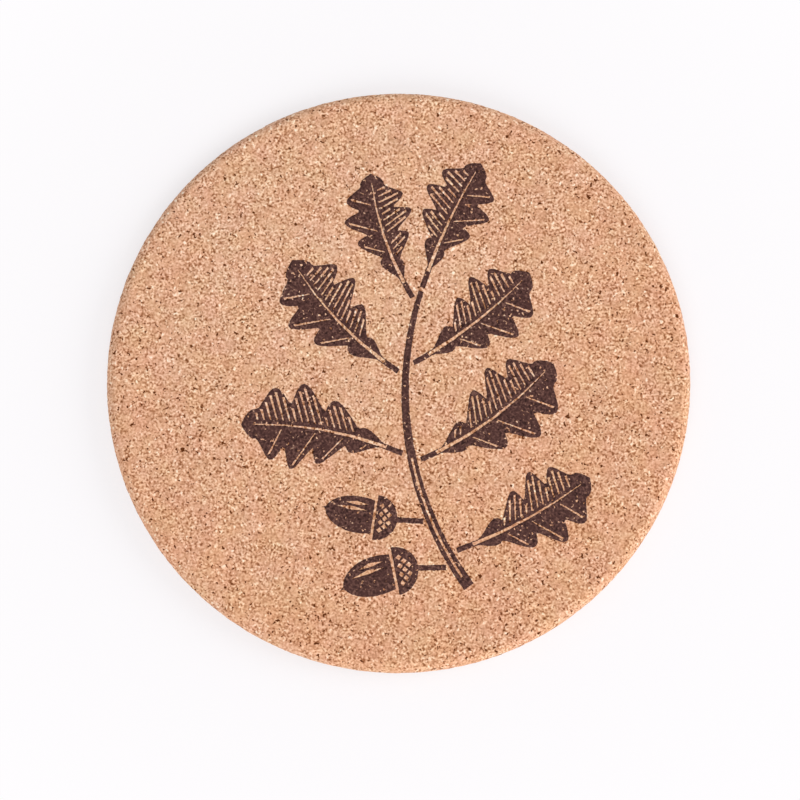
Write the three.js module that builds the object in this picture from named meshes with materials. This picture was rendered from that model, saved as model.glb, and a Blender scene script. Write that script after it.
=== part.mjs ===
// A round cork coaster with an oak sprig printed on its top face.
// Millimetres, +Z up. The origin is the middle of the underside, and +Y points to the top of the print.
// Each island of ink is a thin film that lies on the top face.
import * as THREE from "three";

// Cork disc
const DISC_DIAMETER = 100;
const DISC_THICKNESS = 5;
const RIM_RADIUS = 2; // rounding of both rims
const DISC_SEGMENTS = 96;
const RIM_STEPS = 5;

// Print
const INK_THICKNESS = 0.08;
const PRINT_MARGIN = 7.5; // bare cork between the print and the rounded rim
const SPRIG_REACH = 40.5; // radius of the circle that the sprig is drawn in
const INK_GAP = 0.45; // bare cork between a motif and the one that it grows from
const INK_LINE = 0.45; // ink left between two bare lines

// Stem, an arc that starts at its cut end
const STEM_START_X = 12;
const STEM_START_Y = -35.5;
const STEM_HEADING = -36; // degrees clockwise from +Y
const STEM_BEND = 54; // degrees that it turns clockwise along its length
const STEM_LENGTH = 53;
const STEM_WIDTH = 2;
const STEM_TIP_WIDTH = 0.9;
const STEM_STEPS = 14;
const STEM_SHINE_WIDTH = 0.4; // bare line along the middle of the stem
const STEM_SHINE_LENGTH = 24;

// Leaves
const LEAF_LENGTH = 24; // blade, without its stalk
const LEAF_WIDTH = 14;
const LEAF_STALK_LENGTH = 3;
const LEAF_STALK_WIDTH = 0.9;
const LEAF_LOBES = 4; // on each side, besides the one at the tip
const BAY_SHARE = 0.56; // how far the bays cut in, as a share of the half width
const BAY_FADE_POWER = 8; // how late the bays grow shallow towards the tip
const STAGGER_SHARE = 0.16; // how far each side is shifted, in lobes
const LOBE_LEAN = 0.5; // how far a lobe leans towards the tip for each step outward
const SHOULDER_POWER = 1.3; // over 1 moves the widest place towards the tip
const FULLNESS_POWER = 0.8; // under 1 makes the blade blunt at both ends
const LEAF_STEPS = 48;
const MIDRIB_WIDTH = 0.6; // bare line along the blade
const MIDRIB_TIP_WIDTH = 0.15;
const MIDRIB_SHARE = 0.92; // where it stops, as a share of the blade
const VEIN_WIDTH = 0.42; // bare lines on the dark half
const VEIN_SLOPE = 0.35; // how far a vein runs forward for each step outward
const HATCH_WIDTH = 0.5; // bare lines on the light half
const HATCH_PITCH = 1.1;
const HATCH_SLOPE = 0.2;
const LINE_STEP = 0.2; // how finely a bare line's length is found
const LEAF_EDGE = 0.65; // ink left along the outline

// Acorns
const NUT_LENGTH = 9;
const NUT_WIDTH = 6.4;
const CAP_HEIGHT = 3.8;
const CAP_WIDTH = 7.8;
const ACORN_STALK_LENGTH = 4.5;
const ACORN_STALK_WIDTH = 0.9;
const SHINE_WIDTH = 0.7; // bare lines along the nut
const SCALE_WIDTH = 0.95; // bare diamonds on the cap
const CURVE_STEPS = 9;

// Where each motif leaves the stem: at is a share of the stem, side is 1 for the right of it,
// angle is measured away from the stem, and size is a share of the dimensions above.
const LEAVES = [
  { name: "leaf_right_low", at: 0.12, side: 1, angle: 100, bend: -18, size: 0.96 },
  { name: "leaf_left_low", at: 0.47, side: -1, angle: 56, bend: -26, size: 1.06 },
  { name: "leaf_right_middle", at: 0.44, side: 1, angle: 79, bend: -26, size: 1.06 },
  { name: "leaf_left_middle", at: 0.73, side: -1, angle: 60, bend: 26, size: 1 },
  { name: "leaf_right_high", at: 0.76, side: 1, angle: 56, bend: -18, size: 0.94 },
  { name: "leaf_left_high", at: 0.97, side: -1, angle: 48, bend: 26, size: 0.84 },
  { name: "leaf_tip", at: 1, side: 0, angle: 0, bend: 14, size: 0.88 },
];
const ACORNS = [
  { name: "acorn_low", at: 0.09, side: -1, angle: 56, bend: -30, size: 1.04 },
  { name: "acorn_high", at: 0.25, side: -1, angle: 66, bend: 14, size: 0.98 },
];

const radians = THREE.MathUtils.degToRad;
const { lerp } = THREE.MathUtils;
const at2 = (x, y) => new THREE.Vector2(x, y);
const evenly = (steps, from, to) =>
  Array.from({ length: steps + 1 }, (_, step) => lerp(from, to, step / steps));

const flatRadius = DISC_DIAMETER / 2 - RIM_RADIUS;
const printRadius = flatRadius - PRINT_MARGIN;
const printScale = printRadius / SPRIG_REACH;

// A point beside a centre line that starts at the origin along +Y and turns clockwise by bend degrees.
function besideArc(along, across, length, bend) {
  const whole = radians(bend);
  const turned = (whole * along) / length;
  const straight = Math.abs(whole) < 1e-6;
  const x = straight ? 0 : (length / whole) * (1 - Math.cos(turned));
  const y = straight ? along : (length / whole) * Math.sin(turned);
  return at2(x + across * Math.cos(turned), y - across * Math.sin(turned));
}

// Moves a motif's own point onto the disc: the motif starts at base, and its +Y points along heading.
function onDisc(point, base, heading) {
  const turn = radians(heading);
  const x = base.x + point.x * Math.cos(turn) + point.y * Math.sin(turn);
  const y = base.y - point.x * Math.sin(turn) + point.y * Math.cos(turn);
  return at2(x, y);
}

const stemHalfWidth = (share) => lerp(STEM_WIDTH, STEM_TIP_WIDTH, share) / 2;
const stemStart = at2(STEM_START_X, STEM_START_Y);
const stemPoint = (share, across) =>
  onDisc(besideArc(share * STEM_LENGTH, across, STEM_LENGTH, STEM_BEND), stemStart, STEM_HEADING);

// The stem: a tapered arc with a bare line of light along its thick end.
function stem() {
  const side = (shares, across) => shares.map((share) => stemPoint(share, across(share)));
  const strip = (shares, half) => [
    ...side(shares, half),
    ...side(shares, (share) => -half(share)).reverse(),
  ];
  const whole = evenly(STEM_STEPS, 0, 1);
  const lit = evenly(STEM_STEPS / 2, STEM_WIDTH / STEM_LENGTH, STEM_SHINE_LENGTH / STEM_LENGTH);
  return { outline: strip(whole, stemHalfWidth), bareLines: [strip(lit, () => STEM_SHINE_WIDTH / 2)] };
}

// A motif drawn in its own frame, moved to its place beside the stem or at its end.
function placed({ outline, bareLines }, { at, side, angle }) {
  const base = side
    ? stemPoint(at, side * (stemHalfWidth(at) + INK_GAP))
    : stemPoint(at + INK_GAP / STEM_LENGTH, 0);
  const heading = STEM_HEADING + STEM_BEND * at + side * angle;
  const move = (points) => points.map((point) => onDisc(point, base, heading));
  return { outline: move(outline), bareLines: bareLines.map(move) };
}

// Half the leaf's width on one side, at a share of the blade. Below the blade it is the stalk's.
function leafHalfWidth(share, side, size) {
  const stalk = LEAF_STALK_WIDTH / 2;
  if (share <= 0) return stalk;
  const envelope = Math.max(0, Math.sin(Math.PI * share ** SHOULDER_POWER)) ** FULLNESS_POWER;
  const lobe = (LEAF_LOBES + 0.5) * share + side * STAGGER_SHARE * (1 - share);
  const bay = (1 - Math.abs(Math.sin(Math.PI * lobe))) * (1 - share ** BAY_FADE_POWER);
  return Math.max(stalk * (1 - share), (LEAF_WIDTH / 2) * size * envelope * (1 - BAY_SHARE * bay));
}

// An oak leaf: one half dark with bare veins, the other half light with hatching.
function leaf({ side, bend, size }) {
  const blade = LEAF_LENGTH * size;
  const length = LEAF_STALK_LENGTH + blade;
  const darkSide = side || 1;
  const point = (share, across) => {
    const lean = LOBE_LEAN * Math.abs(across) * (1 - share);
    return besideArc(LEAF_STALK_LENGTH + share * blade + lean, across, length, bend);
  };
  const edge = (shares, half) => shares.map((share) => point(share, half(share)));
  const ring = (shares, half) => [...edge(shares, half), ...edge(shares, (share) => -half(share)).reverse()];

  const shares = [-LEAF_STALK_LENGTH / blade, ...evenly(LEAF_STEPS, 0, 1).slice(0, -1)];
  const right = edge(shares, (share) => leafHalfWidth(share, 1, size));
  const left = edge(shares, (share) => -leafHalfWidth(share, -1, size));
  const outline = [...right, point(1, 0), ...left.reverse()];

  // A bare line that slants forward from beside the midrib, and stops short of the leaf's edge.
  const inner = MIDRIB_WIDTH / 2 + INK_LINE;
  const slanted = (start, across, slant) => start + (slant * (across - inner)) / blade;
  const acrossLine = (start, lineSide, slant, width) => {
    const edgeAt = (across) => leafHalfWidth(slanted(start, across, slant), lineSide, size) - LEAF_EDGE;
    let outer = inner;
    while (outer + LINE_STEP < edgeAt(outer + LINE_STEP)) outer += LINE_STEP;
    if (outer - inner < 2 * width) return [];
    const half = width / 2 / blade;
    const end = slanted(start, outer, slant);
    return [[
      point(start - half / 2, lineSide * inner),
      point(start + half / 2, lineSide * inner),
      point(end + half, lineSide * outer),
      point(end - half, lineSide * outer),
    ]];
  };

  const midrib = (share) => lerp(MIDRIB_WIDTH, MIDRIB_TIP_WIDTH, share / MIDRIB_SHARE) / 2;
  const bareLines = [ring(evenly(4, 0, MIDRIB_SHARE), midrib)];
  const shift = darkSide * STAGGER_SHARE;
  for (let lobe = 0; lobe < LEAF_LOBES; lobe += 1) {
    const peak = (lobe + 0.5 - shift) / (LEAF_LOBES + 0.5 - shift);
    const reach = leafHalfWidth(peak, darkSide, size) - LEAF_EDGE;
    const start = 2 * peak - slanted(peak, reach, VEIN_SLOPE);
    bareLines.push(...acrossLine(start, darkSide, VEIN_SLOPE, VEIN_WIDTH));
  }
  for (let along = HATCH_PITCH / 2; along < blade; along += HATCH_PITCH) {
    bareLines.push(...acrossLine(along / blade, -darkSide, HATCH_SLOPE, HATCH_WIDTH));
  }
  return { outline, bareLines };
}

// Bends an acorn's upright drawing: its stalk starts at the origin, and the nut's tip is furthest up.
function acornFrame({ bend, size }) {
  const length = ACORN_STALK_LENGTH + CAP_HEIGHT + INK_GAP + NUT_LENGTH;
  return ({ x, y }) => besideArc(y * size, x * size, length * size, bend);
}

const mirrored = (points) => points.map(({ x, y }) => at2(-x, y)).reverse();

// An acorn's cap with its stalk: a dome with a bowed rim, and bare diamonds for its scales.
function acornCap(form) {
  const draw = acornFrame(form);
  const rim = ACORN_STALK_LENGTH + CAP_HEIGHT;
  const stalk = ACORN_STALK_WIDTH / 2;
  const half = CAP_WIDTH / 2;
  const dome = evenly(CURVE_STEPS, Math.asin(stalk / half), Math.PI / 2).map((angle) =>
    at2(half * Math.sin(angle), rim - CAP_HEIGHT * Math.cos(angle)));
  const right = [at2(stalk, 0), ...dome];
  const outline = [...right, ...mirrored(right)];

  const diamonds = [];
  for (const [row, count] of [[0, 2], [1, 3], [2, 4]]) {
    const y = rim - INK_LINE - SCALE_WIDTH / 2 - (2 - row) * (SCALE_WIDTH / 2 + INK_LINE / 2);
    const pitch = SCALE_WIDTH + INK_LINE;
    for (let place = 0; place < count; place += 1) {
      const x = (place - (count - 1) / 2) * pitch;
      const reach = SCALE_WIDTH / 2;
      diamonds.push([at2(x + reach, y), at2(x, y + reach), at2(x - reach, y), at2(x, y - reach)]);
    }
  }
  return { outline: outline.map(draw), bareLines: diamonds.map((diamond) => diamond.map(draw)) };
}

// An acorn's nut: full shoulders, a pointed tip, and bare lines of light along one side.
function acornNut(form) {
  const draw = acornFrame(form);
  const top = ACORN_STALK_LENGTH + CAP_HEIGHT + INK_GAP;
  const half = NUT_WIDTH / 2;
  const flank = new THREE.CubicBezierCurve(
    at2(half * 0.9, top),
    at2(half * 1.2, top + NUT_LENGTH * 0.5),
    at2(half * 0.7, top + NUT_LENGTH * 0.85),
    at2(INK_LINE / 2, top + NUT_LENGTH * 0.93),
  );
  const right = flank.getPoints(CURVE_STEPS);
  const outline = [...right, at2(0, top + NUT_LENGTH), ...mirrored(right)];
  const shine = [0.3, 0.62].map((across, line) => {
    const x = half * across * -form.side;
    const from = top + NUT_LENGTH * 0.12;
    const to = top + NUT_LENGTH * (0.74 - 0.16 * line);
    const middle = (from + to) / 2;
    const reach = SHINE_WIDTH / 2;
    return [at2(x, from), at2(x + reach, middle), at2(x * 0.9, to), at2(x - reach, middle)];
  });
  return { outline: outline.map(draw), bareLines: shine.map((line) => line.map(draw)) };
}

// A flat island of ink with its bare lines left open.
function inkFilm({ outline, bareLines }) {
  const scaled = (points) => points.map((point) => point.clone().multiplyScalar(printScale));
  const shape = new THREE.Shape(scaled(outline));
  shape.holes = bareLines.map((line) => new THREE.Path(scaled(line)));
  return new THREE.ExtrudeGeometry(shape, { depth: INK_THICKNESS, bevelEnabled: false });
}

// The disc with rounded rims. Its top face has an edge on the circle that holds the print.
function discGeometry() {
  const rim = (middle, from) => evenly(RIM_STEPS, from, from + 90).map((degrees) => {
    const angle = radians(degrees);
    return at2(flatRadius + RIM_RADIUS * Math.cos(angle), middle + RIM_RADIUS * Math.sin(angle));
  });
  const profile = [
    at2(0, 0),
    ...rim(RIM_RADIUS, -90),
    ...rim(DISC_THICKNESS - RIM_RADIUS, 0),
    at2(printRadius, DISC_THICKNESS),
    at2(0, DISC_THICKNESS),
  ];
  return new THREE.LatheGeometry(profile, DISC_SEGMENTS).rotateX(Math.PI / 2);
}

const motifs = new Map([["stem", stem()]]);
for (const form of LEAVES) motifs.set(form.name, placed(leaf(form), form));
for (const form of ACORNS) {
  motifs.set(`${form.name}_cap`, placed(acornCap(form), form));
  motifs.set(`${form.name}_nut`, placed(acornNut(form), form));
}

const corkMaterial = new THREE.MeshStandardMaterial({ color: 0xd9a786, roughness: 0.95, metalness: 0 });
const inkMaterial = new THREE.MeshStandardMaterial({ color: 0x583a36, roughness: 0.8, metalness: 0 });

const coaster = new THREE.Group();
const disc = new THREE.Mesh(discGeometry(), corkMaterial);
disc.name = "cork_disc";
coaster.add(disc);

const print = new THREE.Group();
print.position.z = DISC_THICKNESS;
coaster.add(print);
for (const [name, motif] of motifs) {
  const island = new THREE.Mesh(inkFilm(motif), inkMaterial);
  island.name = `ink_${name}`;
  print.add(island);
}

export default coaster;
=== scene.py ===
"""Dresses the cork coaster: pressed cork with real relief, and a printed film that lies on it."""
import math

import bpy
import bmesh
import numpy as np
from mathutils import Matrix, Vector, noise
from mathutils.bvhtree import BVHTree
from mathutils.geometry import delaunay_2d_cdt


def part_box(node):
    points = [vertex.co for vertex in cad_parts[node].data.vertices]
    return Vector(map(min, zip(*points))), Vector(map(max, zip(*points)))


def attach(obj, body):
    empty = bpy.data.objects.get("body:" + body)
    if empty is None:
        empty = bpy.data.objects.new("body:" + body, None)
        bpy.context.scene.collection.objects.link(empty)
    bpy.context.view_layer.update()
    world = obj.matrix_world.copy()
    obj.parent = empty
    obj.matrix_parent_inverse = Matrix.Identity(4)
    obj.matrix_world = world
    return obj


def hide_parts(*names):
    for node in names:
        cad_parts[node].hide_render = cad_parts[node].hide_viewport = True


MM = 0.001

# Mesh of the cork disc, in millimetres and counts: the underside is half as fine as the top
RIM_RADIUS = 2.0
SECTORS = 6
UNDER_RINGS = 69
TOP_RINGS = 2 * UNDER_RINGS
RIM_ROWS = 9
WALL_ROWS = 3

# Shares of the bake map's side that the disc's two faces take, as radii
TOP_SHARE = 0.43
UNDER_SHARE = 0.15

# Sizes of the cork's grain, in millimetres
GRANULE = 1.3
GRANULE_WARP = 0.8
GROOVE_WIDTH = 0.22
CRUMB = 0.50
CRUMB_WARP = 0.50
GRAIN = 0.38
SPECK = 0.66
FLECK = 0.75
MISS = 0.55
PATCH = 4.8

# The sheet is sandier around one place, by a drifting border, and ruddier away from it, in millimetres
SANDY_PLACE = (-12.0, 21.0, 5.0)
SANDY_RANGE = (58.0, 18.0)
BROAD = 30.0
BROAD_WARP = 25.0

# A field of noise: its detail, from one smooth wave to a ragged and a rough one, and its middle value
SMOOTH = 0.0
RAGGED = 1.0
ROUGH = 2.0
NOISE_MIDDLE = 0.5

# Each field of noise is turned its own way about a far point, so that no two line up with each other
TURN_CENTRE = (70.0, 30.0, 50.0)
CORK_TURN = (0.6, 0.5, 0.4)
SPECK_TURN = (0.3, 1.1, 0.2)
FLECK_TURN = (1.3, 0.1, 0.7)
MISS_TURN = (0.2, 0.8, 1.4)

# Where noise begins and ends as a speck, a fleck, a miss of the ink or straw, and how specks crowd
SPECK_RANGE = (0.335, 0.255)
SPECK_CROWDING = 0.16
FLECK_RANGE = (0.64, 0.74)
MISS_RANGE = (0.665, 0.72)
STRAW_RANGE = (0.35, 0.65)

# Relief of the cork, in millimetres
GROOVE_DEPTH = 0.06
STEP_DEPTH = 0.05
SPECK_DEPTH = 0.12

# How light plain cork is, and the mean of the field that is 0 in a groove and 1 within a granule
PLAIN_LEVEL = 0.5
MEAN_WITHIN = 0.8

# Strength of the grain in the calmest and the busiest granules, and the share below the busiest
CALM_GRAIN = 0.45
BUSY_GRAIN = 1.20
CALM_SHARE = 0.8

# How much each field lightens or darkens the cork, and the width of the paler band all round the rim, in
# millimetres
TONE_WEIGHT = 0.04
CRUMB_WEIGHT = 0.05
PATCH_WEIGHT = 0.045
GROOVE_WEIGHT = 0.05
SPECK_WEIGHT = -0.78
FLECK_WEIGHT = 0.34
PALE_RIM_WEIGHT = 0.075
PALE_RIM_WIDTH = 2.0

# How cool the cork's colour is to begin with, and how much a patch and a granule cool it
COOL_OFFSET = -0.95
COOL_BY_PATCH = 2.4
COOL_BY_GRANULE = 0.5

# Printed film, in millimetres and waves to the millimetre, and the seed of its wandering edges
FILM_LIFT = 0.04
FILM_THICKNESS = 0.06
EDGE_PIECE = 0.24
EDGE_CLEAR = 0.05
EDGE_WANDER = 0.07
EDGE_WAVES = 2.3
EDGE_SEED = 1

# Points of an outline that count as one, in millimetres, in digits and for the triangulation
MERGE_DISTANCE = 0.002
SAME_PLACE_DIGITS = 4
SAME_POINT = 1e-7

# Least upward part of a top face's normal, and the height in millimetres that rays fall from
UPWARD = 0.9
FAR_ABOVE = 1000.0

# Ways of meshing a film: triangles over the whole hull, and thickness that goes downwards
WHOLE_HULL = 0
DOWNWARDS = -1.0

# Gloss: roughness of the darkest and the palest places, and the bump's strength and depth in millimetres
CORK_SPECULAR = 0.2
CORK_ROUGHNESS = (0.98, 0.82)
CORK_BUMP = (0.5, 0.15)
INK_SPECULAR = 0.25
INK_ROUGHNESS = (0.86, 0.64)
INK_BUMP = (0.25, 0.08)

# Camera, in millimetres and degrees: it sees the disc almost from above, from a little to the front
LENS = 100.0
TILT = 6.6
LEAN = (0.164, -0.986)
CAMERA_DISTANCE = 379.3
AIM = (0.37, -3.69, 4.0)
CLIP_START = 10.0

# Light, in metres and degrees: a level is the light that a white top face gets, and 1 looks white
SKY_LEVEL = 0.506
LAMPS = [
    {"name": "window", "azimuth": 5, "elevation": 32, "distance": 1.6, "size": 1.1, "level": 0.275},
    {"name": "front", "azimuth": -98, "elevation": 44, "distance": 1.6, "size": 1.1, "level": 0.319},
]

# Floor, in metres: the share of white in what the camera sees of it, and where that share grows to 1
FLOOR_HALF = 1.5
FLOOR_GLOW = 0.66
FLOOR_FADE = (0.05, 0.105)


def linear(red, green, blue):
    """A colour written in 8-bit sRGB as the linear colour that a shader takes."""
    def channel(value):
        share = value / 255
        return share / 12.92 if share <= 0.04045 else ((share + 0.055) / 1.055) ** 2.4
    return (channel(red), channel(green), channel(blue), 1.0)


# Colours by level, from dark specks to pale flecks, and the tints that multiply the cork's
CORK_STOPS = [
    (0.00, linear(93, 45, 9)),
    (0.25, linear(165, 109, 72)),
    (0.50, linear(220, 168, 134)),
    (0.75, linear(250, 207, 174)),
    (1.00, linear(255, 240, 216)),
]
INK_STOPS = [
    (0.15, linear(42, 18, 14)),
    (0.50, linear(74, 43, 38)),
    (0.85, linear(114, 79, 68)),
]
WARM_TINT = (1.022, 0.979, 0.969, 1.0)
COOL_TINT = (0.987, 1.011, 1.006, 1.0)
ROSE_TINT = (1.000, 0.992, 1.036, 1.0)
STRAW_TINT = (1.000, 1.008, 0.964, 1.0)
RUDDY_TINT = (0.985, 0.953, 0.920, 1.0)
SANDY_TINT = (1.004, 1.038, 1.056, 1.0)

# The floor's colour, and the white of the sky that it fades to
FLOOR_COLOUR = (0.90, 0.877, 0.895, 1.0)
BACKDROP_WHITE = (1.0, 0.986, 1.0, 1.0)


def put(tree, socket, value):
    """Sets an input to a value, or links it to another node's output."""
    if isinstance(value, bpy.types.NodeSocket):
        tree.links.new(value, socket)
    else:
        socket.default_value = value


def add(tree, kind, inputs=None, **settings):
    """A new node with its settings and inputs."""
    made = tree.nodes.new(kind)
    for name, value in settings.items():
        setattr(made, name, value)
    for key, value in (inputs or {}).items():
        put(tree, made.inputs[key], value)
    return made


def math_node(tree, operation, *values):
    """The result of an operation on numbers."""
    return add(tree, "ShaderNodeMath", dict(enumerate(values)), operation=operation).outputs[0]


def vector_node(tree, operation, inputs):
    """The outputs of an operation on vectors."""
    return add(tree, "ShaderNodeVectorMath", inputs, operation=operation).outputs


def weighted(tree, offset, *parts):
    """The offset plus each value times its weight."""
    total = offset
    for value, weight in parts:
        total = math_node(tree, "MULTIPLY_ADD", value, weight, total)
    return total


def remap(tree, value, low, high, to_low=0.0, to_high=1.0, kind="LINEAR"):
    """The value taken from one range to another, and held at its ends."""
    inputs = {"Value": value, "From Min": low, "From Max": high, "To Min": to_low, "To Max": to_high}
    return add(tree, "ShaderNodeMapRange", inputs, interpolation_type=kind).outputs[0]


def ramp(tree, value, stops):
    """The colour at a value, between stops."""
    made = add(tree, "ShaderNodeValToRGB", {"Fac": value})
    elements = made.color_ramp.elements
    elements[0].position, elements[0].color = stops[0]
    elements[1].position, elements[1].color = stops[-1]
    for place, colour in stops[1:-1]:
        elements.new(place).color = colour
    return made.outputs["Color"]


def mixed(tree, share, first, second, blend="MIX"):
    """Two colours mixed by a share."""
    made = add(tree, "ShaderNodeMix", data_type="RGBA", blend_type=blend)
    colours = [socket for socket in made.inputs if socket.type == "RGBA"]
    put(tree, made.inputs[0], share)
    put(tree, colours[0], first)
    put(tree, colours[1], second)
    return next(socket for socket in made.outputs if socket.type == "RGBA")


def turned(tree, position, angles):
    """The position turned about the far point."""
    inputs = {"Vector": position, "Center": TURN_CENTRE, "Rotation": angles}
    return add(tree, "ShaderNodeVectorRotate", inputs, rotation_type="EULER_XYZ").outputs[0]


def noise_field(tree, position, size, detail):
    """The outputs of a field of noise whose waves have the given size."""
    inputs = {"Vector": position, "Scale": 1 / size, "Detail": detail}
    return add(tree, "ShaderNodeTexNoise", inputs).outputs


def cell_field(tree, position, size, feature):
    """The outputs of a field of cells of the given size."""
    inputs = {"Vector": position, "Scale": 1 / size}
    return add(tree, "ShaderNodeTexVoronoi", inputs, feature=feature).outputs


def channels(tree, colour):
    """The three numbers of a colour."""
    return add(tree, "ShaderNodeSeparateXYZ", {0: colour}).outputs


def warped(tree, position, size, amount):
    """The position pushed about by noise, so that borders laid out by it wander."""
    field = noise_field(tree, position, size, ROUGH)["Color"]
    centred = vector_node(tree, "SUBTRACT", {0: field, 1: (NOISE_MIDDLE,) * 3})[0]
    push = vector_node(tree, "SCALE", {0: centred, "Scale": amount})[0]
    return vector_node(tree, "ADD", {0: position, 1: push})[0]


def cork_fields(tree, metres):
    """The fields that cork is made of, the same for its shape and its colour: three random values for each
    granule, how far in from its edge, how deep in a speck, soft patches, and where finer fields go."""
    flat = vector_node(tree, "SCALE", {0: metres, "Scale": 1 / MM})[0]
    position = turned(tree, flat, CORK_TURN)
    bent = warped(tree, position, GRANULE, GRANULE_WARP)
    tone, hue, unrest = channels(tree, cell_field(tree, bent, GRANULE, "F1")["Color"])
    edge = cell_field(tree, bent, GRANULE, "DISTANCE_TO_EDGE")["Distance"]
    within = remap(tree, edge, 0.0, GROOVE_WIDTH / GRANULE, kind="SMOOTHSTEP")
    fine = warped(tree, position, CRUMB, CRUMB_WARP)
    patches = noise_field(tree, position, PATCH, ROUGH)
    patch, straw, crowding = channels(tree, patches["Color"])
    dark = noise_field(tree, turned(tree, fine, SPECK_TURN), SPECK, RAGGED)["Fac"]
    crowded = weighted(tree, -SPECK_CROWDING * NOISE_MIDDLE, (dark, 1.0), (crowding, SPECK_CROWDING))
    speck = remap(tree, crowded, *SPECK_RANGE)
    return {"flat": flat, "fine": fine, "tone": tone, "hue": hue, "unrest": unrest, "within": within,
            "speck": speck, "patch": patch, "straw": straw, "patch_hue": patches["Fac"]}


def relief_group():
    """Geometry nodes that press the grooves, steps and specks of the cork into a surface."""
    tree = bpy.data.node_groups.new("cork_relief", "GeometryNodeTree")
    tree.interface.new_socket("Geometry", in_out="INPUT", socket_type="NodeSocketGeometry")
    tree.interface.new_socket("Geometry", in_out="OUTPUT", socket_type="NodeSocketGeometry")
    start = tree.nodes.new("NodeGroupInput")
    fields = cork_fields(tree, tree.nodes.new("GeometryNodeInputPosition").outputs[0])
    height = weighted(tree, -GROOVE_DEPTH, (fields["within"], GROOVE_DEPTH),
                      (fields["tone"], -STEP_DEPTH), (fields["speck"], -SPECK_DEPTH))
    normal = tree.nodes.new("GeometryNodeInputNormal").outputs[0]
    metres = math_node(tree, "MULTIPLY", height, MM)
    offset = vector_node(tree, "SCALE", {0: normal, "Scale": metres})[0]
    moved = add(tree, "GeometryNodeSetPosition", {"Geometry": start.outputs[0], "Offset": offset})
    end = tree.nodes.new("NodeGroupOutput")
    tree.links.new(moved.outputs[0], end.inputs[0])
    return tree


def new_object(name, data):
    """A new object in the scene."""
    obj = bpy.data.objects.new(name, data)
    bpy.context.scene.collection.objects.link(obj)
    return obj


def shaped(name, vertices, faces, modifier, **settings):
    """A mesh with one modifier applied. Takes millimetres."""
    flat = bpy.data.meshes.new(f"{name}_flat")
    flat.from_pydata([tuple(point * MM) for point in np.asarray(vertices, dtype=float)], [], faces)
    holder = new_object(f"{name}_flat", flat)
    added = holder.modifiers.new(modifier, modifier)
    for setting, value in settings.items():
        setattr(added, setting, value)
    graph = bpy.context.evaluated_depsgraph_get()
    mesh = bpy.data.meshes.new_from_object(holder.evaluated_get(graph))
    bpy.data.objects.remove(holder)
    bpy.data.meshes.remove(flat)
    mesh.name = name
    mesh.shade_smooth()
    return mesh


def ring_points(rings, radius):
    """Points of a disc in rings, each with one more to the sector, so that they lie evenly."""
    points = [(0.0, 0.0)]
    for ring in range(1, rings + 1):
        reach = radius * ring / rings
        count = SECTORS * ring
        turns = (2 * math.pi * step / count for step in range(count))
        points.extend((reach * math.cos(turn), reach * math.sin(turn)) for turn in turns)
    return points


def ring_faces(rings, first):
    """Triangles over ring_points, seen from above, for points that start at index first."""
    start = [first] + [first + 1 + SECTORS * ring * (ring - 1) // 2 for ring in range(1, rings + 1)]
    faces = []
    for ring in range(rings):
        inner, outer = max(SECTORS * ring, 1), SECTORS * (ring + 1)
        for sector in range(SECTORS):
            for step in range(ring + 1):
                near = start[ring] + (sector * ring + step) % inner
                far = start[ring + 1] + sector * (ring + 1) + step
                next_far = start[ring + 1] + (sector * (ring + 1) + step + 1) % outer
                faces.append((near, far, next_far))
                if step < ring:
                    faces.append((near, next_far, start[ring] + (sector * ring + step + 1) % inner))
    return faces


def side_profile(radius, thickness):
    """Reach and height of each row of the rounded rim, the wall and the lower rim, from the top down."""
    flat = radius - RIM_RADIUS
    wall = thickness - 2 * RIM_RADIUS
    rows = []
    for row in range(1, RIM_ROWS + 1):
        turn = math.pi / 2 * (1 - row / RIM_ROWS)
        rows.append((flat + RIM_RADIUS * math.cos(turn), thickness - RIM_RADIUS * (1 - math.sin(turn))))
    for row in range(1, WALL_ROWS):
        rows.append((radius, thickness - RIM_RADIUS - wall * row / WALL_ROWS))
    for row in range(RIM_ROWS):
        turn = math.pi / 2 * row / RIM_ROWS
        rows.append((flat + RIM_RADIUS * math.cos(turn), RIM_RADIUS * (1 - math.sin(turn))))
    return rows


def cork_shape(radius, thickness):
    """The disc: an even top, a rim and wall in rows, and a coarser underside. Also gives the place of
    each point when the top and the side are unrolled flat, and the number of faces on those two."""
    flat = radius - RIM_RADIUS
    around = SECTORS * TOP_RINGS
    turns = [2 * math.pi * step / around for step in range(around)]
    unrolled = ring_points(TOP_RINGS, flat)
    vertices = [(x, y, thickness) for x, y in unrolled]
    faces = ring_faces(TOP_RINGS, 0)

    above = len(vertices) - around
    last_reach, last_height, spread = flat, thickness, flat
    for reach, height in side_profile(radius, thickness):
        row = len(vertices)
        spread += math.hypot(reach - last_reach, height - last_height)
        vertices.extend((reach * math.cos(turn), reach * math.sin(turn), height) for turn in turns)
        unrolled.extend((spread * math.cos(turn), spread * math.sin(turn)) for turn in turns)
        for step in range(around):
            after = (step + 1) % around
            faces.append((above + step, row + step, row + after, above + after))
        above, last_reach, last_height = row, reach, height
    upper_faces = len(faces)

    under = len(vertices)
    vertices.extend((x, y, 0.0) for x, y in ring_points(UNDER_RINGS, flat))
    faces.extend((a, c, b) for a, b, c in ring_faces(UNDER_RINGS, under))
    coarse = SECTORS * UNDER_RINGS
    edge = len(vertices) - coarse
    for step in range(coarse):
        left, right = edge + step, edge + (step + 1) % coarse
        a, b, c = above + 2 * step, above + 2 * step + 1, above + (2 * step + 2) % around
        faces.extend([(a, left, b), (b, left, right), (b, right, c)])
    return vertices, faces, unrolled, upper_faces


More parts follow.
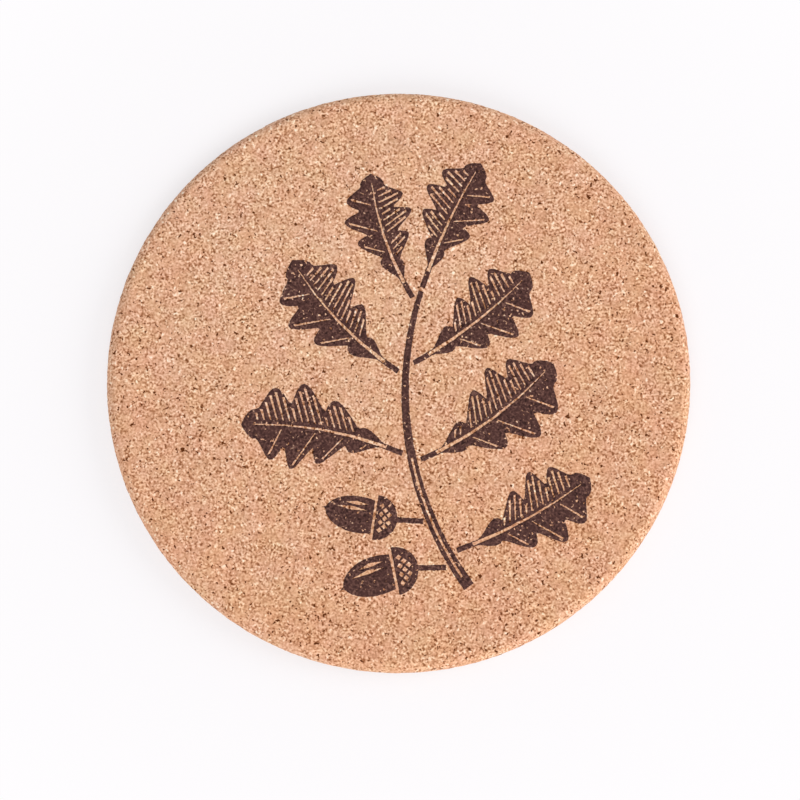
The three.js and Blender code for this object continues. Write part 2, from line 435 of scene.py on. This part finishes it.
def bake_map(mesh, vertices, unrolled, upper_faces):
    """A map for baking: the top and the side as one large disc, and the underside as a small one."""
    missing = len(vertices) - len(unrolled)
    large = np.array(unrolled + [(0.0, 0.0)] * missing)
    small = np.array(vertices)[:, :2] * (-1, 1)
    large *= TOP_SHARE / np.hypot(*large.T).max()
    small *= UNDER_SHARE / np.hypot(*small.T).max()
    corners = np.array([loop.vertex_index for loop in mesh.loops])
    sides = [face.loop_total for face in mesh.polygons]
    upper = np.repeat(np.arange(len(sides)) < upper_faces, sides)[:, None]
    places = np.where(upper, TOP_SHARE + large[corners], 1 - UNDER_SHARE + small[corners])
    mesh.uv_layers.new(name="OFBake").uv.foreach_set("vector", places.ravel())


def surface_of(mesh):
    """The mesh as a surface that a ray can meet."""
    points = [point.co for point in mesh.vertices]
    return BVHTree.FromPolygons(points, [tuple(face.vertices) for face in mesh.polygons])


def heights_of(surface, places):
    """The height of the surface's top at each place, in millimetres."""
    down = Vector((0, 0, -1))
    starts = (Vector((x * MM, y * MM, FAR_ABOVE * MM)) for x, y in places)
    return np.array([surface.ray_cast(start, down)[0].z / MM for start in starts])


def outline_edges(node):
    """The edges around a film's top face and around the bare lines in it, as two arrays of points."""
    shape = bmesh.new()
    shape.from_mesh(node.data)
    bmesh.ops.remove_doubles(shape, verts=shape.verts, dist=MERGE_DISTANCE * MM)
    starts, ends = [], []
    for edge in shape.edges:
        upward = [face for face in edge.link_faces if face.normal.z > UPWARD]
        if len(upward) == 1:
            starts.append([value / MM for value in edge.verts[0].co[:2]])
            ends.append([value / MM for value in edge.verts[1].co[:2]])
    shape.free()
    return np.array(starts), np.array(ends)


def wander(point):
    """A printed edge isn't ruled: each point strays a little, always the same way for the same place."""
    stray = noise.noise_vector(Vector((point[0], point[1], 0.0)) * EDGE_WAVES)
    return (point[0] + EDGE_WANDER * stray.x, point[1] + EDGE_WANDER * stray.y)


def rough_outline(node):
    """A film's outline in short wandering pieces: its points, and the indices of each piece's two ends."""
    points, pieces, numbers = [], [], {}

    def number(point):
        key = (round(point[0], SAME_PLACE_DIGITS), round(point[1], SAME_PLACE_DIGITS))
        if key not in numbers:
            numbers[key] = len(points)
            points.append(wander(point))
        return numbers[key]

    for start, end in zip(*outline_edges(node)):
        count = max(1, round(float(np.hypot(*(end - start))) / EDGE_PIECE))
        chain = [number(start + (end - start) * step / count) for step in range(count + 1)]
        pieces.extend(zip(chain, chain[1:]))
    return np.array(points), pieces


def inside(points, starts, ends):
    """Which points lie inside the outline, by counting the edges to the right of each."""
    x, y = points[:, :1], points[:, 1:]
    spans = (starts[:, 1] > y) != (ends[:, 1] > y)
    rise = np.where(ends[:, 1] == starts[:, 1], 1.0, ends[:, 1] - starts[:, 1])
    crossing = starts[:, 0] + (y - starts[:, 1]) / rise * (ends[:, 0] - starts[:, 0])
    return (spans & (x < crossing)).sum(axis=1) % 2 == 1


def distance_to(points, starts, ends):
    """The distance from each point to the nearest edge."""
    along = ends - starts
    share = ((points[:, None] - starts) * along).sum(axis=2) / (along ** 2).sum(axis=1)
    nearest = starts + along * share.clip(0, 1)[..., None]
    return np.sqrt(((points[:, None] - nearest) ** 2).sum(axis=2)).min(axis=1)


def film_shape(node, lattice, surface):
    """A film in small triangles that lies just over the cork: its rough outline, and inside it the points
    that the cork has too."""
    rough, pieces = rough_outline(node)
    starts = rough[[first for first, _ in pieces]]
    ends = rough[[last for _, last in pieces]]

    low, high = rough.min(axis=0), rough.max(axis=0)
    near = lattice[((lattice > low) & (lattice < high)).all(axis=1)]
    held = near[inside(near, starts, ends)]
    held = held[distance_to(held, starts, ends) > EDGE_CLEAR]

    flat = [Vector(point) for point in np.concatenate([rough, held])]
    spots, _, triangles, *_ = delaunay_2d_cdt(flat, pieces, [], WHOLE_HULL, SAME_POINT)
    spots = np.array([tuple(spot) for spot in spots])
    triangles = np.array(triangles)
    kept = triangles[inside(spots[triangles].mean(axis=1), starts, ends)]
    used = np.unique(kept)
    renumbered = np.full(len(spots), -1)
    renumbered[used] = np.arange(len(used))
    heights = heights_of(surface, spots[used]) + FILM_LIFT
    return np.column_stack([spots[used], heights]), renumbered[kept].tolist()


def cork_level(tree, fields, radius):
    """How light the cork is, from 0 in the darkest speck to 1 in the palest fleck."""
    fine = fields["fine"]
    crumb = channels(tree, cell_field(tree, fine, CRUMB, "F1")["Color"])[0]
    grain = noise_field(tree, fine, GRAIN, SMOOTH)["Fac"]
    strength = remap(tree, fields["unrest"], 0.0, CALM_SHARE, CALM_GRAIN, BUSY_GRAIN)
    stir = math_node(tree, "MULTIPLY", math_node(tree, "SUBTRACT", grain, NOISE_MIDDLE), strength)
    light = noise_field(tree, turned(tree, fine, FLECK_TURN), FLECK, RAGGED)["Fac"]
    fleck = remap(tree, light, *FLECK_RANGE)
    # The cork grows paler towards the rim, evenly all round, over the last few millimetres
    across = vector_node(tree, "MULTIPLY", {0: fields["flat"], 1: (1.0, 1.0, 0.0)})[0]
    reach = vector_node(tree, "LENGTH", {0: across})["Value"]
    pale_rim = remap(tree, reach, radius - PALE_RIM_WIDTH, radius)
    random_mean = (TONE_WEIGHT + CRUMB_WEIGHT + PATCH_WEIGHT) * NOISE_MIDDLE
    offset = PLAIN_LEVEL - random_mean - GROOVE_WEIGHT * MEAN_WITHIN
    return weighted(tree, offset, (stir, 1.0), (fields["tone"], TONE_WEIGHT), (crumb, CRUMB_WEIGHT),
                    (fields["patch"], PATCH_WEIGHT), (fields["within"], GROOVE_WEIGHT),
                    (fields["speck"], SPECK_WEIGHT), (fleck, FLECK_WEIGHT), (pale_rim, PALE_RIM_WEIGHT))


def cork_colour(tree, fields, level):
    """The cork's colour: dark specks to pale flecks by level, with tints by granule, patch and sheet."""
    cool = weighted(tree, COOL_OFFSET, (fields["patch_hue"], COOL_BY_PATCH),
                    (fields["hue"], COOL_BY_GRANULE))
    straw = remap(tree, fields["straw"], *STRAW_RANGE)
    drifting = warped(tree, fields["flat"], BROAD, BROAD_WARP)
    distance = vector_node(tree, "DISTANCE", {0: drifting, 1: SANDY_PLACE})["Value"]
    sandy = remap(tree, distance, *SANDY_RANGE)
    colour = ramp(tree, level, CORK_STOPS)
    for share, first, second in ((cool, WARM_TINT, COOL_TINT), (straw, ROSE_TINT, STRAW_TINT),
                                 (sandy, RUDDY_TINT, SANDY_TINT)):
        colour = mixed(tree, 1.0, colour, mixed(tree, share, first, second), "MULTIPLY")
    return colour


def new_material(name, specular):
    """A new material with its tree and its shader."""
    material = bpy.data.materials.new(name)
    material.use_nodes = True
    tree = material.node_tree
    shader = tree.nodes["Principled BSDF"]
    shader.inputs["Specular IOR Level"].default_value = specular
    return material, tree, shader


def cork_base(tree, radius):
    """The cork's fields, level and colour, by the place on the object."""
    fields = cork_fields(tree, tree.nodes.new("ShaderNodeTexCoord").outputs["Object"])
    level = cork_level(tree, fields, radius)
    return fields, level, cork_colour(tree, fields, level)


def add_detail(tree, shader, level, roughness, bump):
    """Roughness and bump that follow the cork's level."""
    strength, depth = bump
    tree.links.new(remap(tree, level, 0.0, 1.0, *roughness), shader.inputs["Roughness"])
    bumped = add(tree, "ShaderNodeBump", {"Height": level, "Strength": strength, "Distance": depth * MM})
    tree.links.new(bumped.outputs[0], shader.inputs["Normal"])


def cork_material(radius):
    """Bare cork."""
    material, tree, shader = new_material("cork", CORK_SPECULAR)
    _, level, colour = cork_base(tree, radius)
    tree.links.new(colour, shader.inputs["Base Color"])
    add_detail(tree, shader, level, CORK_ROUGHNESS, CORK_BUMP)
    return material


def ink_material(radius):
    """A thin film of ink: the cork's tones show through faintly, and its colour where the ink missed."""
    material, tree, shader = new_material("ink", INK_SPECULAR)
    fields, level, cork = cork_base(tree, radius)
    gaps = noise_field(tree, turned(tree, fields["fine"], MISS_TURN), MISS, RAGGED)["Fac"]
    missed = remap(tree, gaps, *MISS_RANGE)
    colour = mixed(tree, missed, ramp(tree, level, INK_STOPS), cork)
    tree.links.new(colour, shader.inputs["Base Color"])
    add_detail(tree, shader, level, INK_ROUGHNESS, INK_BUMP)
    return material


def piece(name, mesh, material, node):
    """Adds a dressed piece in place of its CAD node."""
    mesh.materials.append(material)
    obj = new_object(name, mesh)
    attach(obj, "root")
    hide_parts(node)


def seen_directly(tree, otherwise, value):
    """The value for what the camera sees, also in reflections and through glass, or else the other one."""
    rays = tree.nodes.new("ShaderNodeLightPath").outputs
    step = value - otherwise
    return weighted(tree, otherwise, (rays["Is Camera Ray"], step), (rays["Is Glossy Ray"], step),
                    (rays["Is Transmission Ray"], step))


def floor():
    """A pale floor that keeps the shadow. To the camera and reflections it fades to white further out."""
    mesh = bpy.data.meshes.new("floor")
    corners = [(x * FLOOR_HALF, y * FLOOR_HALF, 0.0) for x, y in ((-1, -1), (1, -1), (1, 1), (-1, 1))]
    mesh.from_pydata(corners, [], [(0, 1, 2, 3)])
    material, tree, shader = new_material("floor", specular=0.0)
    shader.inputs["Roughness"].default_value = 1.0
    shader.inputs["Base Color"].default_value = FLOOR_COLOUR
    white = add(tree, "ShaderNodeEmission", {"Color": BACKDROP_WHITE, "Strength": 1.0})
    place = tree.nodes.new("ShaderNodeTexCoord").outputs["Object"]
    reach = vector_node(tree, "LENGTH", {0: place})["Value"]
    white_share = remap(tree, reach, *FLOOR_FADE, FLOOR_GLOW, 1.0)
    glow = math_node(tree, "MULTIPLY", white_share, seen_directly(tree, 0.0, 1.0))
    both = add(tree, "ShaderNodeMixShader", {0: glow, 1: shader.outputs[0], 2: white.outputs[0]})
    tree.links.new(both.outputs[0], tree.nodes["Material Output"].inputs["Surface"])
    mesh.materials.append(material)
    obj = new_object("floor", mesh)


def area_lamp(name, azimuth, elevation, distance, size, level):
    """A soft round lamp aimed at the disc. Azimuth runs from +X towards +Y. From far off, a lamp
    of 1 W lights a white face square to it to 1 / (pi * distance) ** 2 of white."""
    lamp = bpy.data.lights.new(name, "AREA")
    lamp.shape = "DISK"
    lamp.size = size
    turn, rise = math.radians(azimuth), math.radians(elevation)
    lamp.energy = level * (math.pi * distance) ** 2 / math.sin(rise)
    away = Vector((math.cos(turn) * math.cos(rise), math.sin(turn) * math.cos(rise), math.sin(rise)))
    obj = new_object(name, lamp)
    obj.location = away * distance
    obj.rotation_euler = (-away).to_track_quat("-Z", "Y").to_euler()


def lights():
    """An even sky, which looks white itself, and the lamps."""
    world = bpy.data.worlds.new("studio")
    world.use_nodes = True
    tree = world.node_tree
    background = tree.nodes["Background"]
    background.inputs["Color"].default_value = BACKDROP_WHITE
    put(tree, background.inputs["Strength"], seen_directly(tree, SKY_LEVEL, 1.0))
    bpy.context.scene.world = world
    for lamp in LAMPS:
        area_lamp(**lamp)


def camera():
    """A camera whose picture has +Y upwards."""
    tilt = math.radians(TILT)
    away = Vector((math.sin(tilt) * LEAN[0], math.sin(tilt) * LEAN[1], math.cos(tilt)))
    across = Vector((0, 1, 0)).cross(away).normalized()
    turn = Matrix((across, away.cross(across), away)).transposed()
    data = bpy.data.cameras.new("camera")
    data.lens = LENS
    data.clip_start = CLIP_START * MM
    obj = new_object("camera", data)
    place = (Vector(AIM) + away * CAMERA_DISTANCE) * MM
    obj.matrix_world = Matrix.Translation(place) @ turn.to_4x4()
    bpy.context.scene.camera = obj


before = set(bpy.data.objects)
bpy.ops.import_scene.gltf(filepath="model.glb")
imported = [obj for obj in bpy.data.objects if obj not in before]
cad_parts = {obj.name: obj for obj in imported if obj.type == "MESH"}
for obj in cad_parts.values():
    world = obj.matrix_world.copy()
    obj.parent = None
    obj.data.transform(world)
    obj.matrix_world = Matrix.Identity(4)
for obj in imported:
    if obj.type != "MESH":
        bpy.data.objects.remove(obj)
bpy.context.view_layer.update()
low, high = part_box("cork_disc")
disc_radius = (high[0] - low[0]) / 2 / MM
disc_thickness = high[2] / MM

vertices, faces, unrolled, upper_faces = cork_shape(disc_radius, disc_thickness)
cork_mesh = shaped("cork_body", vertices, faces, "NODES", node_group=relief_group())
bake_map(cork_mesh, vertices, unrolled, upper_faces)
piece("cork_body", cork_mesh, cork_material(disc_radius), "cork_disc")

noise.seed_set(EDGE_SEED)
ink = ink_material(disc_radius)
surface = surface_of(cork_mesh)
lattice = np.array(ring_points(TOP_RINGS, disc_radius - RIM_RADIUS))
for node_name in sorted(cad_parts):
    if node_name.startswith("ink_"):
        print_name = node_name.replace("ink_", "print_")
        vertices, faces = film_shape(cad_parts[node_name], lattice, surface)
        film = shaped(print_name, vertices, faces, "SOLIDIFY",
                      thickness=FILM_THICKNESS * MM, offset=DOWNWARDS)
        piece(print_name, film, ink, node_name)

camera()
lights()
floor()
bpy.context.scene.view_settings.view_transform = "Standard"
